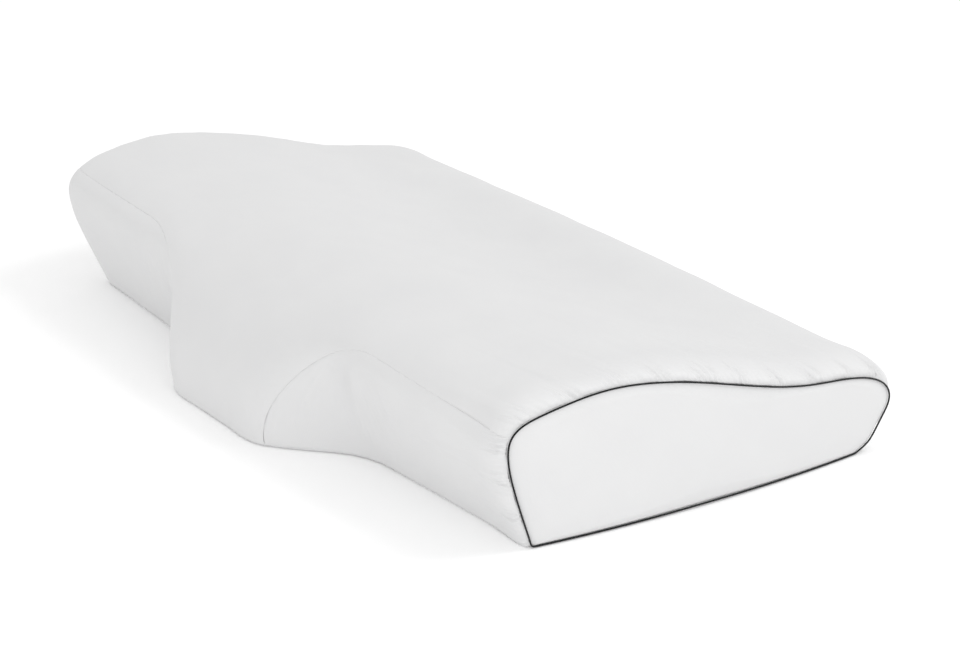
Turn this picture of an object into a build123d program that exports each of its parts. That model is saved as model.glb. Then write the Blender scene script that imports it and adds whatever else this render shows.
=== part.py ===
"""Butterfly-shaped contour pillow for neck traction: foam core, liner, zipped cover with piped ends.

Frame: +X along the pillow's length, +Y from the neck side to the back, +Z up.
The origin is at the middle of the footprint's bounding box, on the surface the pillow lies on.
"""

from build123d import *

import math
import os

# ---- Overall shape, mm ----
HALF_LENGTH = 304.0  # from the middle to an end, on the floor, where the end bows out most
BOW_RADIUS = 1050.0  # each end is a shallow arc in plan
BOW_CENTRE_Y = 9.0
END_LEAN = 11.0 / 75.0  # each end leans outward by this much for each millimetre of height
NOTCH_INNER = 50.0  # the neck tongue is full width up to here
NOTCH_OUTER = 132.0  # and the wing's straight front begins here
WING_TOE_IN = 9.0  # how far the wing's front comes back towards its tip
ROLL = 30.0  # width of the rounded shoulder along the top of each end
ROLL_FRONT = 12.0  # and along the front wall
LOBE_REACH = 270.0  # the hollow behind the ridge fades out here
LOBE_FULL = 30.0

# ---- Fabric and foam, mm ----
COVER_T = 1.6
LINER_T = 1.0
LAYER_GAP = 0.1  # between the cover and the liner, and between the liner and the foam
LINER_SEAM_UP = 4.0  # the liner's two halves meet this far above the back wall's flat
PIPING_OUT = 0.7  # how far the piping stands out of the cover
PIPING_IN = 1.4
PIPING_W = 2.2
PIPING_WALL = 0.5  # wall of the sleeve round its cord

# ---- Front panel seam, seen from the front, mm ----
SEAM_FOOT_X = 65.0
SEAM_CROWN_X = 140.0
SEAM_CROWN_Z = 84.0
SEAM_HIP_X = 87.0  # the curve is steep up to this point and flat beyond it
SEAM_HIP_RISE = 0.72  # its height there, as a share of the crown's
SEAM_FALL = 0.03  # slope of the seam as it leaves the crown
SEAM_TIP_X = 330.0
SEAM_TIP_Z = 76.0
FRONT_REACH_Y = -60.0  # the front panels lie wholly in front of this

# ---- Zip along the back wall, mm ----
WALL_TOP = (175.0, 26.0)  # the flat stretch of the back wall, as (y, z)
WALL_FOOT = (164.0, 6.5)
ZIP_HALF = 230.0
TAPE_W = 8.0
TAPE_T = 0.6
SLOT_HALF_W = 4.2  # the opening between the two panel edges
COIL_GAP = 1.0  # room between the two coils for the slider's post
COIL_W = 1.9
COIL_T = 1.3
RUN = 0.3  # clearance round the slider
SLIDER_L = 9.0
SLIDER_HALF_W = 3.6
SLIDER_PLATE = 0.9
SLIDER_POST_T = 0.5
SLIDER_POST_L = 3.0
SLIDER_X = 222.0
CROWN_HALF_L = 3.0
CROWN_HALF_W = 0.9
CROWN_H = 2.7
CROWN_BAR = 0.9
PULL_PIN_R = 0.5
PULL_PIN_LIFT = 0.85  # from the slider's top plate to the pull's pin
PULL_ARM_IN = 1.3
PULL_ARM_OUT = 2.4
PULL_T = 1.0
PULL_ARM_L = 4.5
PULL_L = 15.0
PULL_W = 6.0
STOP_L = 2.2
STOP_T = 0.8
STOP_CLEAR = 0.4  # from the slider to the top stops
CHANNEL_OUT = 5.0  # the zip's opening is cut from this far outside the wall
TAPE_POCKET = 1.0  # and the tape's pocket to this far behind the tape

# ---- Construction space, mm ----
SPACE_X = 700.0
SPACE_Y = 260.0
SPACE_LOW = -20.0
SPACE_H = 220.0
FLOOR_SPARE = 0.4  # the forms run this far below their floor, and are then cut flat
BELOW_ZIP = 60.0  # the back strip lies wholly inside a block this far down and out of the zip
BELOW_ZIP_IN = 30.0
OVERLAP = 0.1  # joined blocks run this far into each other

# ---- Three sections across the pillow, front foot to back foot, as (y, z) ----
# They share the last three points: the flat of the back wall and the back foot.
END_OUTLINE = [
    (-113, 0), (-122, 23), (-129.5, 44), (-136, 69), (-134.5, 82), (-121, 90), (-95, 97.5),
    (-68, 101), (-34, 98), (2, 89.5), (36, 79), (70, 69.5), (102, 63.2), (133, 58.5),
    (156, 52), (172, 43.5), (178, 35), WALL_TOP, WALL_FOOT, (149, 0),
]
WING_OUTLINE = [
    (-122, 0), (-131, 23), (-139, 44), (-146, 68), (-146, 85), (-133, 99), (-103, 107),
    (-67, 110), (-32, 107.5), (2, 102), (36, 94), (70, 84), (102, 77.5), (133, 74),
    (157, 68), (173, 56), (179, 40), WALL_TOP, WALL_FOOT, (149, 0),
]
TONGUE_OUTLINE = [
    (-177, 0), (-179, 14), (-178, 32), (-171, 52), (-160, 68), (-143, 84), (-111, 101),
    (-70, 107), (-32, 101), (2, 91), (36, 79.5), (70, 71), (102, 71), (133, 76),
    (157, 71), (173, 58), (179, 40), WALL_TOP, WALL_FOOT, (149, 0),
]
CURVE_POINTS = 18  # the spline runs through these, and straight lines join the rest
FRONT_POINTS = 5  # the points up the front wall follow the notch, the rest the hollow
BLEND_POINTS = 9
STATIONS = [0, 28, 52, 68, 80, 91, 102, 114, 128, 146, 180, 225, 258, 278, 292, 304, 316, 328]


def smooth(t):
    """Ease from 0 to 1."""
    t = min(max(t, 0.0), 1.0)
    return t * t * (3.0 - 2.0 * t)


def end_x(y, z):
    """X of the right end's face at a depth and a height."""
    bow = BOW_RADIUS - math.sqrt(BOW_RADIUS**2 - (y - BOW_CENTRE_Y) ** 2)
    return HALF_LENGTH - bow + END_LEAN * z


def shoulder(room, reach):
    """How far the section has grown from the end's outline to the full one."""
    t = room / reach
    return math.sin(math.pi / 2.0 * min(t, 1.0)) if t > 0.0 else math.pi / 2.0 * t


def section(x, inset):
    """Points round the section at x, from the front foot to the back foot."""
    across = abs(x)
    tongue = smooth((NOTCH_OUTER - across) / (NOTCH_OUTER - NOTCH_INNER))
    hollow = smooth((LOBE_REACH - across) / (LOBE_REACH - LOBE_FULL))
    toe = WING_TOE_IN * max(across - NOTCH_OUTER, 0.0) / (HALF_LENGTH - NOTCH_OUTER)
    points = []
    for i, (end, wing, mid) in enumerate(zip(END_OUTLINE, WING_OUTLINE, TONGUE_OUTLINE)):
        mix = min(max((BLEND_POINTS - i) / (BLEND_POINTS - FRONT_POINTS + 1), 0.0), 1.0)
        share = tongue * mix + hollow * (1.0 - mix)
        y = wing[0] + (mid[0] - wing[0]) * share + toe * mix
        z = wing[1] + (mid[1] - wing[1]) * share
        reach = ROLL_FRONT + (ROLL - ROLL_FRONT) * min(max((i - 3) / 3.0, 0.0), 1.0)
        grown = shoulder(end_x(y, z) - inset - across, reach)
        points.append((end[0] + (y - end[0]) * grown, end[1] + (z - end[1]) * grown))
    return shrunk(points, inset)


def shrunk(points, inset):
    """Move each point of the open outline inward, square to the outline."""
    moved = []
    last = len(points) - 1
    for i, (y, z) in enumerate(points):
        before = points[max(i - 1, 0)]
        after = points[min(i + 1, last)]
        if i == last - 1:
            before = points[i - 1]
            after = points[i]
        if i == last - 2:
            before = points[i]
        dy = after[0] - before[0]
        dz = after[1] - before[1]
        size = math.hypot(dy, dz)
        moved.append((y + dz / size * inset, z - dy / size * inset))
    return moved


def body(inset, floor):
    """The pillow's whole outer form, inset by a thickness, flat below and running past both ends."""
    wires = []
    for x in [-s for s in reversed(STATIONS[1:])] + STATIONS:
        points = [Vector(x, y, z) for y, z in section(x, inset)]
        points[0] = Vector(x, points[0].Y, floor - FLOOR_SPARE)
        points[-1] = Vector(x, points[-1].Y, floor - FLOOR_SPARE)
        wires.append(
            Wire([
                Edge.make_spline(points[:CURVE_POINTS]),
                Edge.make_line(points[CURVE_POINTS - 1], points[CURVE_POINTS]),
                Edge.make_line(points[CURVE_POINTS], points[-1]),
                Edge.make_line(points[-1], points[0]),
            ])
        )
    return Solid.make_loft(wires) & slab(floor, SPACE_H)


def between_ends(inset):
    """All the space between the two leaning, bowed ends, inset by a thickness."""
    low = SPACE_LOW
    x_low = END_LEAN * low - inset
    corners = [(end_x(y, 0.0) + x_low, y) for y in (-SPACE_Y, BOW_CENTRE_Y, SPACE_Y)]
    outline = Wire([
        Edge.make_three_point_arc(*[Vector(x, y, low) for x, y in corners]),
        Edge.make_line((corners[2][0], SPACE_Y, low), (-SPACE_X, SPACE_Y, low)),
        Edge.make_line((-SPACE_X, SPACE_Y, low), (-SPACE_X, -SPACE_Y, low)),
        Edge.make_line((-SPACE_X, -SPACE_Y, low), (corners[0][0], -SPACE_Y, low)),
    ])
    right = Solid.extrude(Face(outline), Vector(END_LEAN, 0.0, 1.0) * SPACE_H)
    return right & right.mirror(Plane.YZ)


def front_prism(side):
    """The space in front, below the seam of one front panel."""
    foot = Vector(SEAM_FOOT_X, 0.0, 0.0)
    crown = Vector(SEAM_CROWN_X, 0.0, SEAM_CROWN_Z)
    rise = Edge.make_spline(
        [foot, Vector(SEAM_HIP_X, 0.0, SEAM_HIP_RISE * SEAM_CROWN_Z), crown],
        tangents=[(0.0, 0.0, 1.0), (1.0, 0.0, -SEAM_FALL)],
    )
    tip = Vector(SEAM_TIP_X, 0.0, SEAM_TIP_Z)
    outline = Wire([
        rise,
        Edge.make_line(crown, tip),
        Edge.make_line(tip, (SEAM_TIP_X, 0.0, SPACE_LOW)),
        Edge.make_line((SEAM_TIP_X, 0.0, SPACE_LOW), (SEAM_FOOT_X, 0.0, SPACE_LOW)),
        Edge.make_line((SEAM_FOOT_X, 0.0, SPACE_LOW), foot),
    ])
    prism = Solid.extrude(Face(outline), Vector(0.0, SPACE_Y + FRONT_REACH_Y, 0.0))
    prism = prism.moved(Location((0.0, -SPACE_Y, 0.0)))
    return prism if side > 0 else prism.mirror(Plane.YZ)


# The wall's own axes: along the pillow, up the wall, and out of it.
WALL_MID_Y = (WALL_TOP[0] + WALL_FOOT[0]) / 2.0
WALL_MID_Z = (WALL_TOP[1] + WALL_FOOT[1]) / 2.0
WALL_SLOPE = math.atan2(WALL_TOP[1] - WALL_FOOT[1], WALL_TOP[0] - WALL_FOOT[0])
WALL_OUT = Vector(0.0, math.sin(WALL_SLOPE), -math.cos(WALL_SLOPE))
WALL = Plane(origin=(0.0, WALL_MID_Y, WALL_MID_Z), x_dir=(-1.0, 0.0, 0.0), z_dir=WALL_OUT)


def wall_block(x0, x1, up0, up1, out0, out1):
    """A block on the back wall, between stated places along, up and out of it."""
    size = (x1 - x0, up1 - up0, out1 - out0)
    block = Solid.make_box(*size).moved(Location((-x1, up0, out0)))
    return WALL.location * block


def zip_tape(side):
    """One woven tape, with its inner edge under its coil."""
    inner = side * COIL_GAP / 2.0
    outer = side * (COIL_GAP / 2.0 + TAPE_W)
    low, high = min(inner, outer), max(inner, outer)
    return wall_block(-ZIP_HALF, ZIP_HALF, low, high, -COVER_T, -COVER_T + TAPE_T)


def zip_coil(side):
    """One row of coil, on the outside of its tape."""
    inner = side * COIL_GAP / 2.0
    outer = side * (COIL_GAP / 2.0 + COIL_W)
    low, high = min(inner, outer), max(inner, outer)
    floor = -COVER_T + TAPE_T
    return wall_block(-ZIP_HALF, ZIP_HALF, low, high, floor, floor + COIL_T)


COIL_TOP = -COVER_T + TAPE_T + COIL_T
PLATE_FLOOR = COIL_TOP + RUN
PLATE_TOP = PLATE_FLOOR + SLIDER_PLATE
BACK_TOP = -COVER_T - RUN
BACK_FLOOR = BACK_TOP - SLIDER_PLATE


def zip_slider():
    """Two plates joined by a post, with side flanges and a crown for the pull."""
    x0 = SLIDER_X - SLIDER_L / 2.0
    x1 = SLIDER_X + SLIDER_L / 2.0
    half = SLIDER_HALF_W
    flange = COIL_GAP / 2.0 + COIL_W + RUN
    post = SLIDER_POST_T / 2.0
    top = wall_block(x0, x1, -half, half, PLATE_FLOOR, PLATE_TOP)
    back = wall_block(x0, x1, -half, half, BACK_FLOOR, BACK_TOP)
    solid = top + back + wall_block(
        x1 - SLIDER_POST_L, x1, -post, post, BACK_TOP - OVERLAP, PLATE_FLOOR + OVERLAP
    )
    for low, high in ((flange, half), (-half, -flange)):
        solid += wall_block(x0, x1, low, high, -COVER_T + TAPE_T + RUN, PLATE_FLOOR + OVERLAP)
    crown = wall_block(
        SLIDER_X - CROWN_HALF_L, SLIDER_X + CROWN_HALF_L,
        -CROWN_HALF_W, CROWN_HALF_W, PLATE_TOP - OVERLAP, PLATE_TOP + CROWN_H,
    )
    inner = CROWN_HALF_L - CROWN_BAR
    crown -= wall_block(
        SLIDER_X - inner, SLIDER_X + inner,
        -half, half, PLATE_TOP, PLATE_TOP + CROWN_H - CROWN_BAR,
    )
    return solid + crown


def zip_pull():
    """A pin under the crown, two arms round it, and a flat tab that lies along the wall."""
    pin_out = PLATE_TOP + PULL_PIN_LIFT
    pin = Solid.make_cylinder(PULL_PIN_R, 2.0 * PULL_ARM_OUT)
    pin = pin.moved(Location((-SLIDER_X, PULL_ARM_OUT, pin_out), (90.0, 0.0, 0.0)))
    pull = WALL.location * pin
    out0 = pin_out - PULL_T / 2.0
    out1 = pin_out + PULL_T / 2.0
    shoulder_x = SLIDER_X - PULL_ARM_L
    for low, high in ((PULL_ARM_IN, PULL_ARM_OUT), (-PULL_ARM_OUT, -PULL_ARM_IN)):
        pull += wall_block(shoulder_x, SLIDER_X + PULL_PIN_R, low, high, out0, out1)
    half = PULL_W / 2.0
    return pull + wall_block(SLIDER_X - PULL_L, shoulder_x + OVERLAP, -half, half, out0, out1)


def zip_top_stops():
    """A clamp on each coil at the closed end."""
    x0 = SLIDER_X + SLIDER_L / 2.0 + STOP_CLEAR
    stops = []
    for side in (1.0, -1.0):
        inner = side * COIL_GAP / 2.0
        outer = side * (COIL_GAP / 2.0 + COIL_W)
        low, high = min(inner, outer), max(inner, outer)
        stops.append(wall_block(x0, x0 + STOP_L, low, high, COIL_TOP, COIL_TOP + STOP_T))
    return Compound(children=stops)


def zip_bottom_stop():
    """A clamp across both coils at the open end."""
    half = COIL_GAP / 2.0 + COIL_W
    return wall_block(-ZIP_HALF, -ZIP_HALF + STOP_L, -half, half, COIL_TOP, COIL_TOP + STOP_T)


def largest(shape):
    """The main solid of a cut, without slivers."""
    return max(shape.solids(), key=lambda s: s.volume)


def at_end(shape, side):
    """The solid that lies at one end of the pillow."""
    return max(shape.solids(), key=lambda s: side * s.center().X)


def slab(z0, z1):
    """All space between two heights."""
    box = Solid.make_box(2.0 * SPACE_X, 2.0 * SPACE_Y, z1 - z0)
    return box.moved(Location((-SPACE_X, -SPACE_Y, z0)))


def build():
    """Every piece by name."""
    pieces = {}
    outer = body(0.0, 0.0)
    lining = body(COVER_T, COVER_T)
    liner_out = COVER_T + LAYER_GAP
    liner_in = COVER_T + LINER_T - LAYER_GAP
    foam_out = COVER_T + LINER_T
    foam = body(foam_out, foam_out)
    inside_cover = between_ends(COVER_T)
    inside_piping = between_ends(PIPING_W)
    whole = between_ends(0.0)

    channel = wall_block(
        -ZIP_HALF, ZIP_HALF, -SLOT_HALF_W, SLOT_HALF_W, BACK_FLOOR - RUN, CHANNEL_OUT
    )
    pieces["foam_core"] = largest((foam & between_ends(foam_out)) - channel)
    hollow = body(liner_in, liner_in) & between_ends(liner_in)
    liner = ((body(liner_out, liner_out) & between_ends(liner_out)) - hollow) - channel
    split = slab(WALL_TOP[1] + LINER_SEAM_UP, SPACE_H)
    pieces["liner_upper"] = largest(liner & split)
    pieces["liner_lower"] = largest(liner - split)

    cover = (outer & inside_piping) - lining
    floor_slab = slab(SPACE_LOW, COVER_T)
    pieces["cover_bottom_panel"] = largest(cover & floor_slab)
    walls = cover - floor_slab
    tape_room = wall_block(
        -ZIP_HALF, ZIP_HALF,
        -(COIL_GAP / 2.0 + TAPE_W), COIL_GAP / 2.0 + TAPE_W, -COVER_T - TAPE_POCKET, -COVER_T + TAPE_T,
    )
    walls = (walls - channel) - tape_room
    for name, side in (("right", 1), ("left", -1)):
        prism = front_prism(side)
        pieces[f"cover_front_panel_{name}"] = largest(walls & prism)
        walls = walls - prism
    below_zip = wall_block(-SPACE_X, SPACE_X, -BELOW_ZIP, 0.0, -BELOW_ZIP_IN, BELOW_ZIP)
    pieces["cover_back_strip"] = largest(walls & below_zip)
    pieces["cover_top_panel"] = largest(walls - below_zip)

    rim_inner = body(PIPING_IN, PIPING_IN)
    plates = (rim_inner & whole) - inside_cover
    rings = ((body(-PIPING_OUT, 0.0) & whole) - inside_piping) - rim_inner
    cord_outer = body(PIPING_WALL - PIPING_OUT, PIPING_WALL) & between_ends(PIPING_WALL)
    cords = cord_outer - between_ends(PIPING_W - PIPING_WALL)
    cords = cords - body(PIPING_IN - PIPING_WALL, PIPING_IN - PIPING_WALL)
    for name, side in (("right", 1.0), ("left", -1.0)):
        pieces[f"cover_end_panel_{name}"] = at_end(plates, side)
        cord = at_end(cords, side)
        pieces[f"piping_cord_{name}"] = cord
        pieces[f"piping_sleeve_{name}"] = largest(at_end(rings, side) - cord)

    pieces["zip_tape_upper"] = zip_tape(1.0)
    pieces["zip_tape_lower"] = zip_tape(-1.0)
    pieces["zip_coil_upper"] = zip_coil(1.0)
    pieces["zip_coil_lower"] = zip_coil(-1.0)
    pieces["zip_slider"] = zip_slider()
    pieces["zip_pull_tab"] = zip_pull()
    pieces["zip_top_stops"] = zip_top_stops()
    pieces["zip_bottom_stop"] = zip_bottom_stop()
    return pieces


def main():
    """Write one STEP file for each piece."""
    os.makedirs("parts", exist_ok=True)
    for name, shape in build().items():
        export_step(shape, os.path.join("parts", f"{name}.step"))
        box = shape.bounding_box()
        print(name, [round(v, 1) for v in (*box.min, *box.max)], round(shape.volume))


main()
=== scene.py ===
"""Butterfly-shaped contour pillow: cover panels, piping, zip, liner and foam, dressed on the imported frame."""

from __future__ import annotations

import logging
import math
from collections.abc import Callable, Sequence
from dataclasses import dataclass, field
from enum import Enum

import bmesh
import bpy
import numpy as np
from mathutils import Matrix, Vector
from mathutils.bvhtree import BVHTree

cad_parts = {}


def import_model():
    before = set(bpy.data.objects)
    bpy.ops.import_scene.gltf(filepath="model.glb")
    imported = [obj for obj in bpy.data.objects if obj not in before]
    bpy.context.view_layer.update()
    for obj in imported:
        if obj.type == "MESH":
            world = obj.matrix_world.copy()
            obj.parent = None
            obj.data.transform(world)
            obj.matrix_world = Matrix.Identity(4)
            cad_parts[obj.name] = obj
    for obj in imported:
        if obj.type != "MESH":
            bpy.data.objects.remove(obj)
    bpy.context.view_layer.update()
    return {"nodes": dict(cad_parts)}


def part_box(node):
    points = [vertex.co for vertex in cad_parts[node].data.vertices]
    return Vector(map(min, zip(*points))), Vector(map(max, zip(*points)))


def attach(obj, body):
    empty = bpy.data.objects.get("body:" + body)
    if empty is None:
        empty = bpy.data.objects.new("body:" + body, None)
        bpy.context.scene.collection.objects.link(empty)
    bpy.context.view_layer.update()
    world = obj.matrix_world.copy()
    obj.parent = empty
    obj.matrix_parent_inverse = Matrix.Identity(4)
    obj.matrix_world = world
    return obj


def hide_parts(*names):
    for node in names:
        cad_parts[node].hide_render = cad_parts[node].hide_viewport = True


LOG = logging.getLogger("pillow")
MM = 0.001
Array = np.ndarray
Colour = tuple[float, float, float, float] | bpy.types.NodeSocket


class Side(Enum):
    """The two ends of the pillow, as signs along X."""

    LEFT = -1
    RIGHT = 1

    @property
    def word(self) -> str:
        """The side's name in piece names."""
        return self.name.lower()


class Body(Enum):
    """The rigid bodies that pieces ride on."""

    PILLOW = "pillow"
    SLIDER = "slider"
    PULL = "pull"


# ---------------------------------------------------------------- materials


def linear(hex_colour: str) -> tuple[float, float, float, float]:
    """Turn an sRGB hex colour into linear light.

    Args:
        hex_colour: Six hex digits, such as "F4F3F0".

    Returns:
        Red, green, blue and alpha.
    """
    parts = [int(hex_colour[i : i + 2], 16) / 255.0 for i in (0, 2, 4)]
    light = [c / 12.92 if c <= 0.04045 else ((c + 0.055) / 1.055) ** 2.4 for c in parts]
    return (light[0], light[1], light[2], 1.0)


def add_node(tree: bpy.types.NodeTree, kind: str, links: dict | None = None, **settings) -> bpy.types.Node:
    """Add one node with its settings and incoming links.

    Args:
        tree: The material's node tree.
        kind: The node's type name.
        links: Input name or number to an output socket, or to a plain value.
        **settings: Properties set on the node itself.

    Returns:
        The new node.
    """
    node = tree.nodes.new(kind)
    for name, value in settings.items():
        setattr(node, name, value)
    for name, value in (links or {}).items():
        if isinstance(value, bpy.types.NodeSocket):
            tree.links.new(value, node.inputs[name])
        else:
            node.inputs[name].default_value = value
    return node


def empty_material(name: str) -> tuple[bpy.types.Material, bpy.types.NodeTree]:
    """A new material and its node tree, with nothing in it."""
    material = bpy.data.materials.new(name)
    material.use_nodes = True
    material.node_tree.nodes.clear()
    return material, material.node_tree


def noise(tree: bpy.types.NodeTree, place: bpy.types.NodeSocket, scale: float, detail: float) -> bpy.types.NodeSocket:
    """Smooth random values over a place."""
    return add_node(tree, "ShaderNodeTexNoise", {"Vector": place, "Scale": scale, "Detail": detail}).outputs["Fac"]


def blend(tree: bpy.types.NodeTree, factor: bpy.types.NodeSocket, low: Colour, high: Colour) -> bpy.types.NodeSocket:
    """A colour between two others."""
    return add_node(tree, "ShaderNodeMix", {"Factor": factor, 6: low, 7: high}, data_type="RGBA").outputs[2]


def surface(
    tree: bpy.types.NodeTree,
    colour: bpy.types.NodeSocket,
    height: bpy.types.NodeSocket,
    relief: tuple[float, float],
    inputs: dict[str, float],
) -> None:
    """Add the bump, the shader and the output.

    Args:
        tree: The material's node tree.
        colour: Of the surface.
        height: What the bump follows.
        relief: The bump's strength and distance.
        inputs: The shader's other inputs.
    """
    bump = add_node(tree, "ShaderNodeBump", {"Height": height, "Strength": relief[0], "Distance": relief[1]})
    links = {"Base Color": colour, "Normal": bump.outputs["Normal"], **inputs}
    shader = add_node(tree, "ShaderNodeBsdfPrincipled", links)
    add_node(tree, "ShaderNodeOutputMaterial", {"Surface": shader.outputs["BSDF"]})


@dataclass(frozen=True)
class Cloth:
    """A knitted or woven textile: two crossed thread waves, loose fibre noise and a soft sheen.

    Attributes:
        name: The material's name.
        colour: Colour of the thread's crown.
        shade: Colour between threads.
        pitch_mm: Thread spacing.
        relief: Strength of the weave's bump.
        roughness: Of the fibre.
        sheen: Weight of the fuzz on the surface.
        turn: Turn of the weave on the piece, in radians.
    """

    name: str
    colour: str
    shade: str
    pitch_mm: float
    relief: float = 0.25
    roughness: float = 0.86
    sheen: float = 0.25
    turn: float = 0.0

    def make(self) -> bpy.types.Material:
        """Build the node material, which reads the piece's own UV map in metres."""
        material, tree = empty_material(self.name)
        pitch = self.pitch_mm * MM
        place = add_node(tree, "ShaderNodeUVMap", uv_map="cloth").outputs["UV"]
        turned = add_node(tree, "ShaderNodeMapping", {"Vector": place, "Rotation": (0.0, 0.0, self.turn)})
        # One full sine of a wave texture at scale 1 is 2*pi/20 long, so this gives the pitch in metres.
        scale = math.pi * 2.0 / 20.0 / pitch
        links = {"Vector": turned.outputs["Vector"], "Scale": scale, "Distortion": 0.6, "Detail": 1.0}
        warp, weft = (
            add_node(tree, "ShaderNodeTexWave", links, bands_direction=axis).outputs["Fac"] for axis in ("X", "Y")
        )
        weave = add_node(tree, "ShaderNodeMath", {0: warp, 1: weft}, operation="MULTIPLY").outputs[0]
        fibre = noise(tree, place, 0.4 / pitch, 4.0)
        soft = noise(tree, place, 22.0, 3.0)
        height = add_node(tree, "ShaderNodeMath", {0: weave, 1: fibre}, operation="ADD").outputs[0]
        crown = linear(self.colour)
        cloudy = blend(tree, soft, blend(tree, weave, linear(self.shade), crown), crown)
        fuzz = {
            "Roughness": self.roughness,
            "IOR": 1.46,
            "Specular IOR Level": 0.25,
            "Sheen Weight": self.sheen,
            "Sheen Roughness": 0.6,
        }
        surface(tree, cloudy, height, (self.relief, 0.25 * self.pitch_mm * MM), fuzz)
        return material


@dataclass(frozen=True)
class Foam:
    """Open-celled memory foam: fine round cells over a slightly uneven cream."""

    name: str = "slow_recovery_foam"
    colour: str = "F1ECD9"
    cell_colour: str = "D9D0B4"
    cell_mm: float = 0.9

    def make(self) -> bpy.types.Material:
        """Build the node material on Object coordinates."""
        material, tree = empty_material(self.name)
        links = {"Vector": add_node(tree, "ShaderNodeTexCoord").outputs["Object"], "Scale": 1.0 / (self.cell_mm * MM)}
        cells = add_node(tree, "ShaderNodeTexVoronoi", links).outputs["Distance"]
        tone = blend(tree, cells, linear(self.cell_colour), linear(self.colour))
        surface(tree, tone, cells, (0.4, 0.3 * MM), {"Roughness": 0.92, "Specular IOR Level": 0.2})
        return material


@dataclass(frozen=True)
class Hard:
    """A moulded nylon or a lacquered zinc casting: even colour, fine orange-peel relief."""

    name: str
    colour: str
    worn: str
    roughness: float
    grain_mm: float
    coat: float = 0.0

    def make(self) -> bpy.types.Material:
        """Build the node material on Object coordinates."""
        material, tree = empty_material(self.name)
        place = add_node(tree, "ShaderNodeTexCoord").outputs["Object"]
        grain = noise(tree, place, 1.0 / (self.grain_mm * MM), 3.0)
        tone = blend(tree, grain, linear(self.worn), linear(self.colour))
        surface(tree, tone, grain, (0.15, 0.05 * MM), {"Roughness": self.roughness, "Coat Weight": self.coat})
        return material


COVER_JERSEY = Cloth("cover_jersey_knit", "DDDDDD", "D6D6D7", 0.9, relief=0.22)
# The cover's knit again with a darker colour and a softer relief: painted shade that sets how bright the end panels
# come out under these lights.
END_JERSEY_SHADED = Cloth("end_panel_knit_painted_shade", "DADADA", "D3D3D4", 0.9, relief=0.18)
LINER_TRICOT = Cloth("liner_tricot_knit", "F0F0EC", "DEDED8", 0.7)
PIPING_TWILL = Cloth("bias_cut_black_twill", "1B1B1D", "070708", 0.5, relief=0.6, sheen=0.1, turn=0.785)
PIPING_COTTON = Cloth("twisted_cotton_cord", "DCD8CC", "B4AE9E", 0.6, relief=0.7)
TAPE_WEAVE = Cloth("woven_polyester_tape", "ECECEC", "D2D2D3", 0.5, relief=0.6, sheen=0.05)
THREAD = Cloth("white_sewing_thread", "F6F6F6", "DADADA", 0.3, relief=0.5, sheen=0.1)
COIL_NYLON = Hard("moulded_nylon_coil", "EDEDED", "DEDEDE", 0.38, 0.4)
ZINC_LACQUER = Hard("white_lacquered_zinc", "E9E9E7", "D8D8D5", 0.32, 0.6, coat=0.3)


# ---------------------------------------------------------------- mesh helpers


WAVE_COUNT = 4096
LOWEST_WAVE = 0.35
WAVE_SHIFT = 0.3


def unevenness(along: Array, pitch: float, seed: int) -> Array:
    """Smooth random waves along a line, with an uneven spacing near a pitch.

    Args:
        along: Distances along the line, in metres.
        pitch: Mean distance between crests, in metres.
        seed: Makes the same waves each time.

    Returns:
        Values from about -1 to 1.
    """
    rng = np.random.default_rng(seed)
    half = pitch / 2.0
    count = WAVE_COUNT
    heights = rng.uniform(LOWEST_WAVE, 1.0, count) * np.where(np.arange(count) % 2 == 0, 1.0, -1.0)
    knots = (np.arange(count) - count / 2.0 + rng.uniform(-WAVE_SHIFT, WAVE_SHIFT, count)) * half
    index = np.clip(np.searchsorted(knots, along) - 1, 0, count - 2)
    part = np.clip((along - knots[index]) / (knots[index + 1] - knots[index]), 0.0, 1.0)
    part = part * part * (3.0 - 2.0 * part)
    return heights[index] * (1.0 - part) + heights[index + 1] * part


def bell(distance: Array, width: float) -> Array:
    """A smooth hump, 1 at no distance and gone after about two widths."""
    return np.exp(-((distance / width) ** 2))


def ramp(value: Array, low: float, high: float) -> Array:
    """Ease from 0 at low to 1 at high."""
    t = np.clip((value - low) / (high - low), 0.0, 1.0)
    return t * t * (3.0 - 2.0 * t)


def grid_faces(rows: int, columns: int, closed_rows: bool = False) -> list[tuple[int, int, int, int]]:
    """Quads of a grid whose points are listed row by row.

    Args:
        rows: Number of rows.
        columns: Number of points in a row.
        closed_rows: Whether each row is a loop.

    Returns:
        Four point numbers for each quad.
    """
    last = columns if closed_rows else columns - 1
    return [
        (r * columns + c, r * columns + (c + 1) % columns, (r + 1) * columns + (c + 1) % columns, (r + 1) * columns + c)
        for r in range(rows - 1)
        for c in range(last)
    ]


def normals_of(points: Array) -> Array:
    """Unit normals of a grid of points, which is rows by columns by three."""
    down = np.gradient(points, axis=0)
    across = np.gradient(points, axis=1)
    normal = np.cross(across, down)
    return normal / np.maximum(np.linalg.norm(normal, axis=2, keepdims=True), 1e-12)


def run_along(line: Array) -> Array:
    """Distance along a line of points, from 0 at its first."""
    return np.concatenate([[0.0], np.cumsum(np.linalg.norm(np.diff(line, axis=0), axis=1))])


def unit(vectors: Array) -> Array:
    """Each row at length 1."""
    return vectors / np.linalg.norm(vectors, axis=1, keepdims=True)


def square_to(ahead: Array) -> tuple[Array, Array]:
    """Two unit directions square to each of a path's, none of which lies along X."""
    ahead = unit(ahead)
    across = unit(np.cross(ahead, np.array([1.0, 0.0, 0.0])))
    return across, np.cross(across, ahead)


def ring_angles(count: int) -> Array:
    """Even angles round a ring."""
    return np.linspace(0.0, 2.0 * math.pi, count, endpoint=False)


def rings_round(path: Array, across: Array, lift: Array, radius: Array | float, count: int) -> Array:
    """Rings of points round a path, given two directions square to it."""
    angle = ring_angles(count)
    c, s = np.cos(angle)[None, :, None], np.sin(angle)[None, :, None]
    return path[:, None] + radius * (c * across[:, None] + s * lift[:, None])


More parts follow.
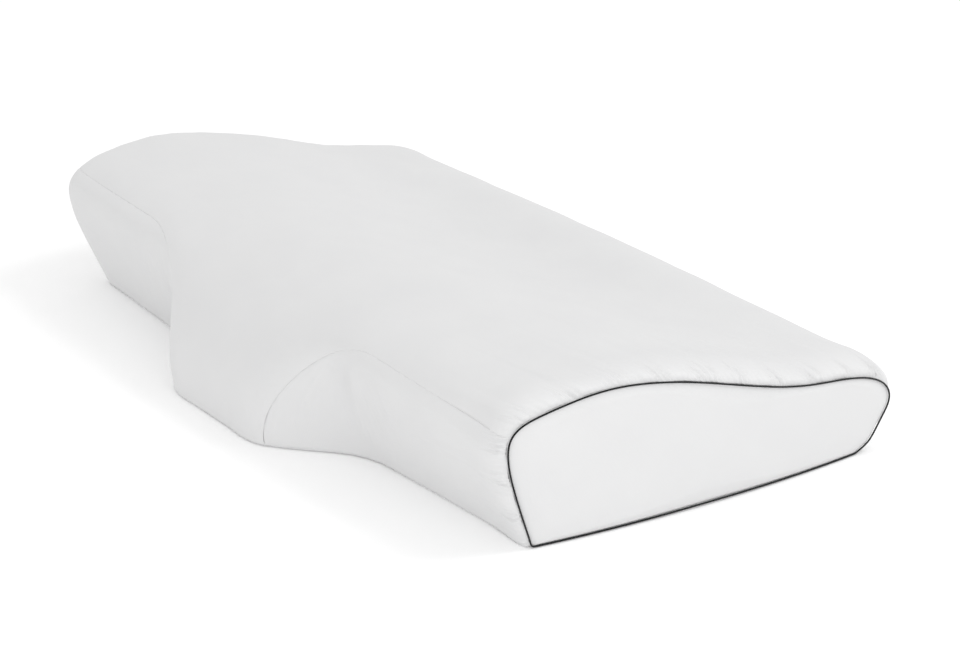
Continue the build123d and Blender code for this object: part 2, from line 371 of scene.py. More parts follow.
def mesh_object(name: str, points: Array, faces: Sequence[tuple[int, ...]], uv: Array) -> bpy.types.Object:
    """Make an object from listed points and faces, with a UV in metres of cloth for each point."""
    mesh = bpy.data.meshes.new(name)
    mesh.from_pydata(points.tolist(), [], faces)
    layer = mesh.uv_layers.new(name="cloth")
    corner_points = np.zeros(len(mesh.loops), np.int32)
    mesh.loops.foreach_get("vertex_index", corner_points)
    layer.data.foreach_set("uv", uv[corner_points].astype(np.float32).ravel())
    made = bpy.data.objects.new(name, mesh)
    bpy.context.scene.collection.objects.link(made)
    return made


@dataclass
class Piece:
    """One shown piece: its mesh data, its finish, and what it stands for.

    Attributes:
        name: Piece name.
        body: Body it rides on.
        finish: Its material.
        slot: A material slot name, not used.
        replaces: CAD nodes that it stands for.
    """

    name: str
    body: Body
    finish: Cloth | Foam | Hard
    slot: str
    replaces: tuple[str, ...] = ()

    def from_grid(
        self, points: Array, uv: Array, outward: Vector | None = None, closed: bool = False
    ) -> bpy.types.Object:
        """Make a mesh from a grid of points with a UV for each, facing away from a place inside.

        Args:
            points: Rows by columns by three, in metres.
            uv: Rows by columns by two, in metres of cloth.
            outward: A place that faces look away from, the middle of the pillow by default.
            closed: Whether each row is a loop.

        Returns:
            The new object.
        """
        rows, columns = points.shape[:2]
        made = mesh_object(self.name, points.reshape(-1, 3), grid_faces(rows, columns, closed), uv.reshape(-1, 2))
        self._tidy(made, outward or Vector((0.0, 0.0, 0.04)))
        return made

    def _tidy(self, made: bpy.types.Object, inside: Vector) -> None:
        """Merge doubled points, drop slivers and turn faces outward."""
        shape = bmesh.new()
        shape.from_mesh(made.data)
        bmesh.ops.remove_doubles(shape, verts=shape.verts, dist=0.004 * MM)
        facing = sum(f.normal.dot(f.calc_center_median() - inside) * f.calc_area() for f in shape.faces)
        if facing < 0.0:
            bmesh.ops.reverse_faces(shape, faces=shape.faces)
        shape.to_mesh(made.data)
        shape.free()
        made.data.shade_smooth()

    def dress(self, made: bpy.types.Object) -> bpy.types.Object:
        """Give the object its material and its body, and hide the CAD nodes it stands for."""
        made.data.materials.clear()
        made.data.materials.append(material_of(self.finish))
        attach(made, self.body.value)
        if self.replaces:
            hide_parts(*self.replaces)
        LOG.info("%s: %d faces", made.name, len(made.data.polygons))
        return made


_MATERIALS: dict[str, bpy.types.Material] = {}


def material_of(finish: Cloth | Foam | Hard) -> bpy.types.Material:
    """The finish's material, made once."""
    if finish.name not in _MATERIALS:
        _MATERIALS[finish.name] = finish.make()
    return _MATERIALS[finish.name]


def active_only(made: bpy.types.Object) -> None:
    """Select one object and nothing else."""
    bpy.ops.object.select_all(action="DESELECT")
    made.select_set(True)
    bpy.context.view_layer.objects.active = made


def thicken(made: bpy.types.Object, thickness: float, rim_only: bool = False) -> None:
    """Give a sheet its thickness inward, with a closed rim, or a turned-in hem alone.

    Args:
        made: The sheet.
        thickness: In metres.
        rim_only: Whether only the border is turned in.
    """
    active_only(made)
    wall = made.modifiers.new("wall", "SOLIDIFY")
    wall.thickness = thickness
    wall.offset = -1.0
    wall.use_rim = True
    wall.use_rim_only = rim_only
    bpy.ops.object.modifier_apply(modifier=wall.name)


def face_outward(made: bpy.types.Object, merge: float = 0.0, cap: bool = False) -> None:
    """Turn a closed mesh's faces outward.

    Args:
        made: The mesh.
        merge: Points nearer than this are joined first.
        cap: Whether open ends are closed first.
    """
    active_only(made)
    bpy.ops.object.mode_set(mode="EDIT")
    if cap:
        bpy.ops.mesh.select_all(action="DESELECT")
        bpy.ops.mesh.select_non_manifold()
        bpy.ops.mesh.edge_face_add()
    bpy.ops.mesh.select_all(action="SELECT")
    if merge > 0.0:
        bpy.ops.mesh.remove_doubles(threshold=merge)
    bpy.ops.mesh.normals_make_consistent(inside=False)
    bpy.ops.object.mode_set(mode="OBJECT")


# ---------------------------------------------------------------- the pillow's form


@dataclass
class CoverForm:
    """The cover's outer form, read from the frame and made smooth.

    The form is a grid: u runs from -1 to 1 between the two ends, and t from 0 at the front foot, over the
    top, to 1 at the back foot.
    """

    half_length: float = 304.0 * MM
    bow_radius: float = 1050.0 * MM
    bow_centre_y: float = 9.0 * MM
    end_lean: float = 11.0 / 75.0
    border: float = 2.2 * MM
    probe_border: float = 3.4 * MM
    foot_z: float = 0.8 * MM
    draw_in: float = 7.0 * MM
    hub: tuple[float, float] = (0.0, 40.0 * MM)
    wall_top: tuple[float, float] = (175.0 * MM, 26.0 * MM)
    wall_foot: tuple[float, float] = (164.0 * MM, 6.5 * MM)
    stations: int = 127
    samples: int = 141
    grid: Array = field(default_factory=lambda: np.zeros((0, 0, 3)))
    lengths: Array = field(default_factory=lambda: np.zeros(0))

    def end_x(self, y: float | Array, z: float | Array) -> float | Array:
        """X of the right end's face at a depth and height."""
        bow = self.bow_radius - np.sqrt(self.bow_radius**2 - (y - self.bow_centre_y) ** 2)
        return self.half_length - bow + self.end_lean * z

    def drawn_in(self, x: Array, y: Array, z: Array) -> Array:
        """How far the cover is drawn in at the front foot of the left end, where the foam doesn't fill it."""
        near_end = ramp(-x, 0.7 * self.half_length, self.half_length)
        front = 1.0 - ramp(y, -120.0 * MM, -20.0 * MM)
        low = 1.0 - ramp(z, 0.0, 62.0 * MM)
        return self.draw_in * near_end * front * low

    @property
    def wall_slope(self) -> float:
        """Angle of the flat back wall above the floor."""
        return math.atan2(self.wall_top[1] - self.wall_foot[1], self.wall_top[0] - self.wall_foot[0])

    def wall_place(self, x: float, up: float, out: float) -> Vector:
        """A point by its place along, up and out of the back wall's middle line."""
        middle_y = (self.wall_top[0] + self.wall_foot[0]) / 2.0
        middle_z = (self.wall_top[1] + self.wall_foot[1]) / 2.0
        c, s = math.cos(self.wall_slope), math.sin(self.wall_slope)
        return Vector((x, middle_y + up * c + out * s, middle_z + up * s - out * c))

    def read(self, nodes: Sequence[bpy.types.Object]) -> None:
        """Sample the CAD cover on the grid.

        Args:
            nodes: The cover's CAD panels.
        """
        points: list[Vector] = []
        faces: list[tuple[int, ...]] = []
        for node in nodes:
            start = len(points)
            points.extend(v.co.copy() for v in node.data.vertices)
            faces.extend(tuple(start + i for i in p.vertices) for p in node.data.polygons)
        tree = BVHTree.FromPolygons(points, faces)
        rows = []
        lengths = []
        for u in np.linspace(-1.0, 1.0, self.stations):
            profile = self._profile(tree, float(u))
            run = run_along(profile[:, 1:])
            even = np.linspace(0.0, run[-1], self.samples)
            rows.append(np.stack([np.interp(even, run, profile[:, k]) for k in range(3)], axis=1))
            lengths.append(run[-1])
        grid = np.array(rows)
        for _ in range(2):
            grid[1:-1] = (grid[:-2] + 2.0 * grid[1:-1] + grid[2:]) / 4.0
            grid[:, 1:-1] = (grid[:, :-2] + 2.0 * grid[:, 1:-1] + grid[:, 2:]) / 4.0
        grid[..., 0] += self.drawn_in(grid[..., 0], grid[..., 1], grid[..., 2])
        self.grid = grid
        self.lengths = np.array(lengths)

    def _foot(self, tree: BVHTree, u: float, sign: float) -> tuple[float, float]:
        """Depth of the foot line at a station, on the front (-1) or the back (1)."""
        y = sign * 0.12
        for _ in range(3):
            x = u * (self.end_x(y, self.foot_z) - self.probe_border)
            hit = tree.ray_cast(Vector((x, sign * 0.3, self.foot_z)), Vector((0.0, -sign, 0.0)), 0.29)[0]
            y = hit.y if hit is not None else y
        return y, self.foot_z

    def _profile(self, tree: BVHTree, u: float) -> Array:
        """Points round one station, from the front foot to the back foot."""
        hub_y, hub_z = self.hub
        front = self._foot(tree, u, -1.0)
        back = self._foot(tree, u, 1.0)

        def turn(place: tuple[float, float]) -> float:
            angle = math.atan2(place[1] - hub_z, hub_y - place[0])
            return angle if place[0] < hub_y or place[1] > hub_z else angle + 2.0 * math.pi

        wall = (turn(self.wall_top), turn(self.wall_foot))
        found = []
        for angle in np.linspace(turn(front), turn(back), 3 * self.samples):
            away = (-math.cos(angle), math.sin(angle))
            if wall[0] <= angle <= wall[1]:
                found.append(self._on_wall(u, away))
                continue
            y, z = found[-1][1:] if found else front
            hit = None
            for _ in range(3):
                x = u * (self.end_x(y, z) - self.probe_border)
                start = Vector((x, hub_y + away[0] * 0.35, hub_z + away[1] * 0.35))
                hit = tree.ray_cast(start, Vector((0.0, -away[0], -away[1])), 0.345)[0]
                if hit is None:
                    break
                y, z = hit.y, hit.z
            if hit is not None:
                z = max(z, self.foot_z)
                found.append((u * (self.end_x(y, z) - self.border), y, z))
        return np.array(found)

    def _on_wall(self, u: float, away: tuple[float, float]) -> tuple[float, float, float]:
        """Where a direction from the hub meets the flat back wall, across the zip's opening."""
        run = (self.wall_top[0] - self.wall_foot[0], self.wall_top[1] - self.wall_foot[1])
        off = (self.wall_foot[0] - self.hub[0], self.wall_foot[1] - self.hub[1])
        reach = (off[0] * run[1] - off[1] * run[0]) / (away[0] * run[1] - away[1] * run[0])
        y, z = self.hub[0] + away[0] * reach, self.hub[1] + away[1] * reach
        return (u * (self.end_x(y, z) - self.border), y, z)

    def at(self, u: Array, t: Array) -> Array:
        """Smooth points of the form at arrays of u and t."""
        padded = np.pad(self.grid, ((2, 2), (2, 2), (0, 0)), mode="reflect", reflect_type="odd")
        a = (np.clip(u, -1.0, 1.0) + 1.0) / 2.0 * (self.stations - 1)
        b = np.clip(t, 0.0, 1.0) * (self.samples - 1)
        ia = np.clip(np.floor(a).astype(int), 0, self.stations - 2)
        ib = np.clip(np.floor(b).astype(int), 0, self.samples - 2)
        wa, wb = self._weights(a - ia), self._weights(b - ib)
        total = np.zeros((*np.shape(u), 3))
        for p in range(4):
            for q in range(4):
                total += (wa[p] * wb[q])[..., None] * padded[ia + p + 1, ib + q + 1]
        return total

    @staticmethod
    def _weights(part: Array) -> list[Array]:
        """Weights of the four neighbours in a smooth curve through evenly spaced points."""
        p2, p3 = part * part, part**3
        return [
            -0.5 * part + p2 - 0.5 * p3,
            1.0 - 2.5 * p2 + 1.5 * p3,
            0.5 * part + 2.0 * p2 - 1.5 * p3,
            -0.5 * p2 + 0.5 * p3,
        ]

    def length_at(self, u: Array) -> Array:
        """Length of cloth from foot to foot at each u."""
        return np.interp(u, np.linspace(-1.0, 1.0, self.stations), self.lengths)

    def t_up_wall(self, u: float, up: float) -> float:
        """The t at which the form passes a height up the back wall."""
        t = np.linspace(0.7, 1.0, 400)
        points = self.at(np.full_like(t, u), t)
        middle = self.wall_place(0.0, 0.0, 0.0)
        c, s = math.cos(self.wall_slope), math.sin(self.wall_slope)
        rise = (points[:, 1] - middle.y) * c + (points[:, 2] - middle.z) * s
        return float(np.interp(-up, -rise, t))


@dataclass
class FrontSeam:
    """The curved seam between a front panel and the top panel, worked out on the right half."""

    form: CoverForm
    foot_x: float = 65.0 * MM
    crown_x: float = 150.0 * MM
    crown_z: float = 89.5 * MM
    crown_half: float = 25.0 * MM
    tip_x: float = 330.0 * MM
    tip_z: float = 80.0 * MM
    flatness: float = 1.12
    round_columns: int = 38
    straight_columns: int = 58
    eased: int = 20
    u: Array = field(default_factory=lambda: np.zeros(0))
    t: Array = field(default_factory=lambda: np.zeros(0))
    run: Array = field(default_factory=lambda: np.zeros(0))

    def trace(self) -> None:
        """Find the seam's u and t, column by column, from its foot to the end of the pillow."""
        angle = np.linspace(0.0, math.pi / 2.0, self.round_columns, endpoint=False)
        wide = self.crown_x - self.foot_x
        places = [
            (self.crown_x - wide * math.cos(a) ** self.flatness, self.crown_z * math.sin(a) ** self.flatness)
            for a in angle
        ]
        found = [self._meet(x, z) for x, z in places]
        start = self._meet(self.crown_x, self.crown_z)[0]
        share = np.linspace(0.0, 1.0, self.straight_columns)
        for u in start + (1.0 - start) * (1.0 - (1.0 - share) ** 1.5):
            found.append(self._at_u(float(u)))
        self.u = np.array([f[0] for f in found])
        self.t = np.array([f[1] for f in found])
        for _ in range(self.eased):
            self.t[1:-1] = (self.t[:-2] + 2.0 * self.t[1:-1] + self.t[2:]) / 4.0
        self.run = run_along(self.form.at(self.u, self.t))

    def on_wing(self, x: Array) -> Array:
        """Ease from 0 on the notch's side of the crown to 1 on the wing, by distance from the middle."""
        return ramp(x, self.crown_x - self.crown_half, self.crown_x + self.crown_half)

    def _meet(self, x: float, z: float) -> tuple[float, float]:
        """The u and t of the front wall's point with a given x and z."""
        u = x / self.form.half_length
        t = 0.0
        for _ in range(4):
            t = self._t_at_height(u, z)
            here = self.form.at(np.array([u]), np.array([t]))[0]
            u += (x - here[0]) / self.form.half_length
        return u, t

    def _at_u(self, u: float) -> tuple[float, float]:
        """The seam's t at a given u beyond the crown."""
        x = u * self.form.half_length
        fall = (x - self.crown_x) / (self.tip_x - self.crown_x)
        return u, self._t_at_height(u, self.crown_z + (self.tip_z - self.crown_z) * fall)

    def _t_at_height(self, u: float, z: float) -> float:
        """The t at which the front wall passes a height."""
        if z <= self.form.foot_z:
            return 0.0
        t = np.linspace(0.0, 0.35, 400)
        heights = self.form.at(np.full_like(t, u), t)[:, 2]
        return float(np.interp(z, np.maximum.accumulate(heights), t))


# ---------------------------------------------------------------- cover panels


@dataclass
class Cover:
    """The sewn cover: top, fronts, ends, bottom and back strip."""

    form: CoverForm
    seams: dict[Side, FrontSeam]
    cloth_t: float = 1.2 * MM
    tuck: float = 0.55 * MM
    seam_roll: float = 10.0 * MM
    end_roll: float = 9.0 * MM
    seam_turn: float = 0.8 * MM
    zip_half: float = 229.0 * MM
    slot_half: float = 4.0 * MM
    pucker_pitch: float = 4.4 * MM
    notch_grip: float = 0.38
    wing_ease: float = 0.28
    top_rows: int = 440
    fan_part: float = 0.34
    upper_points: int = 520
    floor_points: int = 220
    end_hub: tuple[float, float] = (18.0 * MM, 44.0 * MM)
    fullness: dict[Side, float] = field(default_factory=lambda: {Side.LEFT: 0.16, Side.RIGHT: 1.0})

    def build(self) -> None:
        """Build every panel."""
        self.top_panel()
        for side in Side:
            self.front_panel(side)
            self.end_panel(side)
        self.bottom_panel()
        self.back_strip()

    def slot_edge(self, u: float) -> float:
        """How far up the wall the panel's edge lies from the zip's middle line."""
        x = abs(u) * self.form.half_length
        open_part = 1.0 - float(ramp(np.array(x), self.zip_half - 6.0 * MM, self.zip_half + 4.0 * MM))
        return 0.15 * MM + self.slot_half * open_part

    def end_gathers(self, gap: Array, along: Array, seed: int, strength: float = 1.0) -> Array:
        """Small puckers square to the piping, long ones between them, and the cloth tucked under it.

        Args:
            gap: Distance to the piping.
            along: Distance along the piping.
            seed: For the waves.
            strength: Of the puckers.

        Returns:
            Outward movement.
        """
        slanted = along + gap * (0.05 + 0.12 * unevenness(along, 37.0 * MM, seed + 9))
        patchy = 0.2 + 0.9 * ramp(unevenness(along, 33.0 * MM, seed + 7), -0.25, 0.6)
        reach = (11.0 + 4.0 * unevenness(along, 13.0 * MM, seed + 5)) * MM
        short = 1.45 * MM * np.exp(-((gap / reach) ** 2)) * patchy * unevenness(slanted, self.pucker_pitch, seed)
        long = 0.35 * MM * np.exp(-gap / (14.0 * MM)) * patchy * unevenness(slanted, 8.0 * MM, seed + 1)
        broad = 1.7 * MM * np.exp(-gap / (30.0 * MM)) * unevenness(slanted, 24.0 * MM, seed + 3)
        grip = 1.0 - 0.8 * bell(gap, 1.6 * MM)
        roll = gap / self.end_roll
        plump = 3.1 * MM * roll * np.exp(1.0 - roll)
        return strength * (grip * (short + long + broad) + plump - self.tuck * bell(gap, 1.3 * MM))

    def above_floor(self, points: Array) -> Array:
        """The same points, none lower than the cloth can lie."""
        low = 0.1 * MM
        return np.concatenate([points[..., :2], np.maximum(points[..., 2:], low)], axis=-1)

    def soft_waves(self, points: Array, seed: int) -> Array:
        """The faint unevenness of knit lying over foam."""
        x, y = points[..., 0], points[..., 1] + points[..., 2]
        wave = unevenness(x + 0.3 * y, 74.0 * MM, seed) * unevenness(y - 0.2 * x, 58.0 * MM, seed + 1)
        fine = unevenness(x - 0.6 * y, 27.0 * MM, seed + 2) * unevenness(y + 0.5 * x, 23.0 * MM, seed + 3)
        return 0.5 * MM * wave + 0.05 * MM * fine

    def top_panel(self) -> None:
        """The long panel from the tongue's foot over the ridge and the back lobe to the zip."""
        left, right = self.seams[Side.LEFT], self.seams[Side.RIGHT]
        half = self.form.half_length
        foot = np.linspace(-left.u[0], right.u[0], 30)[1:-1]
        start = np.concatenate([-left.u[::-1], foot, right.u])
        t0 = np.concatenate([left.t[::-1], np.zeros(len(foot)), right.t])
        # Columns leave the seam evenly spaced along it and fan out until they are even along the pillow.
        run_left, run_right = left.run + left.u[0] * half, right.run + right.u[0] * half
        middle = foot * half / np.where(foot < 0.0, run_left[-1], run_right[-1])
        even = np.concatenate([-run_left[::-1] / run_left[-1], middle, run_right / run_right[-1]])
        share = np.linspace(0.0, 1.0, self.top_rows)[:, None]
        fan = 1.0 - (1.0 - np.clip(share / self.fan_part, 0.0, 1.0)) ** 2
        uu = start[None, :] + (even - start)[None, :] * fan
        t1 = np.array([self.form.t_up_wall(float(v), self.slot_edge(float(v))) for v in even])
        t = t0[None, :] + (t1 - t0)[None, :] * share
        points = self.form.at(uu, t)
        normal = normals_of(points)
        length = self.form.length_at(uu)
        along = t * length
        gap_end = (1.0 - np.abs(uu)) * self.form.half_length * 1.15
        gap_seam = (t - t0[None, :]) * length
        gap_zip = (t1[None, :] - t) * length
        on_seam = np.broadcast_to((np.abs(start) > right.u[0] * 0.999).astype(float)[None, :], t.shape)
        calm = 1.0 - on_seam * (1.0 - ramp(gap_seam, 0.0, 20.0 * MM))
        gathers = np.where(
            uu > 0.0,
            self.end_gathers(gap_end, along, 11, self.fullness[Side.RIGHT]),
            self.end_gathers(gap_end, along, 23, self.fullness[Side.LEFT]),
        )
        x = points[..., 0]
        seam_puckers = 0.16 * MM * np.exp(-gap_seam / (5.0 * MM)) * unevenness(x * 1.3, 6.5 * MM, 5) * on_seam
        move = gathers + self.soft_waves(points, 3) * calm * ramp(gap_zip, 4.0 * MM, 45.0 * MM) + seam_puckers
        pull_in = self.notch_grip - self.wing_ease * right.on_wing(np.abs(x))
        move -= self.tuck * (pull_in * bell(gap_seam, 0.9 * MM) + 1.6 * bell(gap_zip, 1.6 * MM))
        points = self.above_floor(points + normal * move[..., None])
        uv = np.stack([points[..., 0], along], axis=-1)
        piece = Piece("cover_top", Body.PILLOW, COVER_JERSEY, "cover_knit", ("cover_top_panel",))
        made = piece.from_grid(points, uv)
        thicken(made, self.cloth_t, rim_only=True)
        piece.dress(made)

    def front_panel(self, side: Side) -> None:
        """One front panel: the straight wing front, the notch and the tongue's flank, below the seam.

        Args:
            side: The end it is on.
        """
        seam = self.seams[side]
        share = np.append(np.linspace(0.0, 1.0, 110), 1.0)[:, None]
        t = seam.t[None, :] * share
        t[-1] += self.seam_turn / self.form.length_at(seam.u)
        foot = seam.u[0] + (1.0 - seam.u[0]) * seam.run / seam.run[-1]
        u = side.value * (foot[None, :] + (seam.u - foot)[None, :] * share)
        points = self.form.at(u, t)
        normal = normals_of(points) * side.value
        length = self.form.length_at(u)
        gap_seam = (seam.t[None, :] - t) * length
        gap_foot = t * length
        gap_end = (1.0 - np.abs(u)) * self.form.half_length
        x, z = np.abs(points[..., 0]), points[..., 2]
        seed = 40 + 10 * side.value
        move = self.end_gathers(gap_end, gap_foot * 1.25, seed, 0.9 * self.fullness[side])
        on_wing = seam.on_wing(x)
        bulge = np.clip(gap_seam / self.seam_roll, 0.0, 1.0) * bell(gap_seam, 60.0 * MM)
        move += 2.6 * MM * bulge * on_wing * ramp(gap_foot, 0.0, 30.0 * MM) * ramp(gap_end, 1.0 * MM, 22.0 * MM)
        move += 0.12 * MM * np.exp(-gap_seam / (6.0 * MM)) * unevenness(x, 6.0 * MM, seed + 2)
        move += self.notch_folds(seam, x, z, seed + 3)
        move += 0.6 * self.soft_waves(points, seed + 5) * ramp(gap_seam, 0.0, 20.0 * MM)
        pull_in = self.notch_grip - self.wing_ease * on_wing
        move -= self.tuck * (pull_in * bell(gap_seam, 0.9 * MM) + 1.5 * bell(gap_foot, 1.8 * MM))
        move[-1] -= 0.25 * MM
        points = self.above_floor(points + normal * move[..., None])
        uv = np.stack([points[..., 0], gap_foot], axis=-1)
        word = side.word
        piece = Piece(f"cover_front_{word}", Body.PILLOW, COVER_JERSEY, "cover_knit", (f"cover_front_panel_{word}",))
        made = piece.from_grid(points, uv, Vector((side.value * 0.16, 0.06, 0.04)))
        thicken(made, self.cloth_t)
        piece.dress(made)

    def notch_folds(self, seam: FrontSeam, x: Array, z: Array, seed: int) -> Array:
        """Soft upright folds that fan out from the seam's crown down through the notch.

        Args:
            seam: The panel's seam.
            x: Distance from the middle.
            z: Height.
            seed: For their spacing.

        Returns:
            Outward movement.
        """
        crown_x, crown_z = seam.crown_x, seam.crown_z
        fall = np.clip(1.0 - z / crown_z, 0.0, 1.0)
        gather_x = crown_x - 10.0 * MM
        fan = (x - gather_x + 23.0 * MM * fall) / (0.35 + 0.65 * fall)
        wide = bell(x - gather_x + 12.0 * MM, 60.0 * MM)
        tall = ramp(fall, 0.08, 0.3) * (1.0 - 0.55 * ramp(fall, 0.6, 1.0))
        fine = 0.1 * unevenness(fan, 26.0 * MM, seed) + 0.1 * unevenness(fan + 0.1 * z, 11.0 * MM, seed + 1)
        valley = 0.7 * bell(fan + 48.0 * MM, 26.0 * MM)
        ridge = 0.8 * bell(fan - 8.0 * MM, 16.0 * MM) + 0.16 * bell(fan - 12.0 * MM, 2.6 * MM)
        return 2.5 * MM * wide * tall * (fine + ridge - valley)

    def outline(self, side: Side) -> Array:
        """The closed line of an end: up the front, over the top, down the back and along the floor.

        Args:
            side: The end.

        Returns:
            Points in order, the last one not repeating the first.
        """
        t = np.linspace(0.0, 1.0, self.upper_points)
        upper = self.form.at(np.full(self.upper_points, float(side.value)), t)
        y = np.linspace(upper[-1, 1], upper[0, 1], self.floor_points)[1:-1]
        floor = np.full_like(y, self.form.foot_z)
        x = side.value * (self.form.end_x(y, floor) - self.form.border)
        x = x + self.form.drawn_in(x, y, floor)
        return np.concatenate([upper, np.stack([x, y, floor], axis=1)])

    def end_panel(self, side: Side) -> None:
        """The flat end panel inside the piping, drawn tight over the foam and slightly crowned.

        Args:
            side: The end it is on.
        """
        loop = self.outline(side)
        hub_y, hub_z = self.end_hub
        share = np.linspace(0.0, 1.0, 56) ** 0.62
        y = hub_y + (loop[None, :, 1] - hub_y) * share[:, None]
        z = hub_z + (loop[None, :, 2] - hub_z) * share[:, None]
        spread = np.hypot(loop[:, 1] - hub_y, loop[:, 2] - hub_z)
        gap = (1.0 - share[:, None]) * spread[None, :]
        inset = 0.6 * MM
        y = y - (loop[None, :, 1] - hub_y) / spread[None, :] * inset * share[:, None]
        z = z - (loop[None, :, 2] - hub_z) / spread[None, :] * inset * share[:, None]
        steps = np.linalg.norm(np.diff(loop, axis=0, append=loop[:1]), axis=1)
        along = np.broadcast_to(np.cumsum(steps)[None, :], y.shape)
        crown = 1.5 * MM * ramp(gap, 0.0, 14.0 * MM) - 1.2 * MM * bell(gap, 1.6 * MM)
        puckers = 0.1 * MM * np.exp(-gap / (7.0 * MM)) * unevenness(along, 5.2 * MM, 61 + side.value)
        waves = 0.25 * MM * unevenness(y, 66.0 * MM, 71) * unevenness(z, 41.0 * MM, 72) * ramp(gap, 0.0, 20.0 * MM)
        x = self.form.end_x(y, z) - 1.0 * MM + crown + puckers + waves
        x = side.value * x
        points = np.stack([x + self.form.drawn_in(x, y, z), y, z], axis=-1)
        uv = np.stack([y, z], axis=-1)
        word = side.word
        # The end panel takes the darker copy of the cover knit, which is painted shade on the ends.
        piece = Piece(f"cover_end_{word}", Body.PILLOW, END_JERSEY_SHADED, "cover_knit", (f"cover_end_panel_{word}",))
        made = piece.from_grid(points, uv, closed=True)
        thicken(made, self.cloth_t)
        piece.dress(made)

    def bottom_panel(self) -> None:
        """The panel underneath, with the floor outline of tongue, notches and wings."""
        u = np.linspace(-1.0, 1.0, 240)
        front = self.form.at(u, np.zeros_like(u))
        back = self.form.at(u, np.ones_like(u))[::-1]
        right = self.outline(Side.RIGHT)[self.upper_points :][::-1]
        left = self.outline(Side.LEFT)[self.upper_points :]
        loop = np.concatenate([front, right, back, left])
        share = np.linspace(0.0, 1.0, 40) ** 0.6
        points = np.zeros((len(share), len(loop), 3))
        points[..., :2] = loop[None, :, :2] * share[:, None, None]
        gap = (1.0 - share)[:, None] * np.hypot(loop[:, 0], loop[:, 1])[None, :]
        points[..., 2] = 0.15 * MM + 0.9 * MM * bell(gap, 3.0 * MM)
        inward = 1.0 - 0.8 * MM / np.hypot(loop[:, 0], loop[:, 1])
        points[-1, :, :2] = loop[:, :2] * inward[:, None]
        piece = Piece("cover_bottom", Body.PILLOW, COVER_JERSEY, "cover_knit", ("cover_bottom_panel",))
        made = piece.from_grid(points, points[..., :2].copy(), closed=True)
        thicken(made, 0.8 * MM)
        piece.dress(made)

    def back_strip(self) -> None:
        """The narrow strip between the zip and the bottom panel."""
        u = np.linspace(-1.0, 1.0, 300)
        t0 = np.array([self.form.t_up_wall(float(v), -self.slot_edge(float(v))) for v in u])
        share = np.linspace(0.0, 1.0, 28)[:, None]
        t = t0[None, :] + (1.0 - t0)[None, :] * share
        uu = np.broadcast_to(u[None, :], t.shape)
        points = self.form.at(uu, t)
        normal = normals_of(points)
        length = self.form.length_at(uu)
        gap_end = (1.0 - np.abs(uu)) * self.form.half_length
        move = self.end_gathers(gap_end, t * length, 91, 0.6)
        gap_zip = (t - t0[None, :]) * length
        gap_foot = (1.0 - t) * length
        move -= self.tuck * (0.8 * bell(gap_zip, 1.4 * MM) + 0.8 * bell(gap_foot, 1.6 * MM))
        move += 0.12 * MM * unevenness(points[..., 0], 17.0 * MM, 93) * ramp(gap_zip, 3.0 * MM, 9.0 * MM)
        points = self.above_floor(points + normal * move[..., None])
        uv = np.stack([points[..., 0], t * length], axis=-1)
        piece = Piece("cover_back_strip_cloth", Body.PILLOW, COVER_JERSEY, "cover_knit", ("cover_back_strip",))
        made = piece.from_grid(points, uv)
        thicken(made, self.cloth_t)
        piece.dress(made)


@dataclass
class Piping:
    """Black piping round each end panel: a fabric sleeve over a cotton cord."""

    cover: Cover
    sunk: dict[Side, float] = field(default_factory=lambda: {Side.LEFT: 2.2 * MM, Side.RIGHT: 0.75 * MM})
    radius: float = 0.62 * MM
    cord_radius: float = 0.36 * MM
    ring: int = 12
    rings: int = 640

    def build(self) -> None:
        """Build both ends."""
        for side in Side:
            path = self.path(side)
            word = side.word
            sleeve = Piece(f"piping_{word}", Body.PILLOW, PIPING_TWILL, "piping_black", (f"piping_sleeve_{word}",))
            sleeve.dress(self.tube(sleeve, path, self.radius))
            cord = Piece(
                f"piping_inner_cord_{word}", Body.PILLOW, PIPING_COTTON, "piping_cord", (f"piping_cord_{word}",)
            )
            cord.dress(self.tube(cord, path, self.cord_radius))

    def path(self, side: Side) -> Array:
        """The sleeve's middle line, evenly spaced, on the edge of the end.

        Args:
            side: The end it goes round.

        Returns:
            Points of a closed line.
        """
        loop = self.cover.outline(side)
        loop[:, 1:] -= unit(loop[:, 1:] - np.array(self.cover.end_hub)) * self.sunk[side]
        loop[:, 2] = np.maximum(loop[:, 2], self.radius)
        form = self.cover.form
        loop[:, 0] = side.value * (form.end_x(loop[:, 1], loop[:, 2]) - 0.5 * MM)
        loop[:, 0] += form.drawn_in(loop[:, 0], loop[:, 1], loop[:, 2])
        for _ in range(3):
            loop = (np.roll(loop, 1, axis=0) + 2.0 * loop + np.roll(loop, -1, axis=0)) / 4.0
        closed = np.concatenate([loop, loop[:1]])
        run = run_along(closed)
        even = np.linspace(0.0, run[-1], self.rings, endpoint=False)
        return np.stack([np.interp(even, run, closed[:, k]) for k in range(3)], axis=1)

    def tube(self, piece: Piece, path: Array, radius: float) -> bpy.types.Object:
        """A closed tube along a path.

        Args:
            piece: Whose name it takes.
            path: Points of a closed line.
            radius: Of the tube.

        Returns:
            The new object.
        """
        across, up = square_to(np.roll(path, -1, axis=0) - np.roll(path, 1, axis=0))
        run = run_along(np.concatenate([path, path[:1]]))
        uneven = radius * (1.0 + 0.03 * unevenness(run[:-1], 2.6 * MM, 31))
        rings = rings_round(path, across, up, uneven[:, None, None], self.ring)
        rings = np.concatenate([rings, rings[:1]])
        uv = np.stack(np.broadcast_arrays(run[:, None], (ring_angles(self.ring) * radius)[None, :]), axis=-1)
        made = piece.from_grid(rings, uv, closed=True)
        face_outward(made, merge=0.01 * MM)
        return made


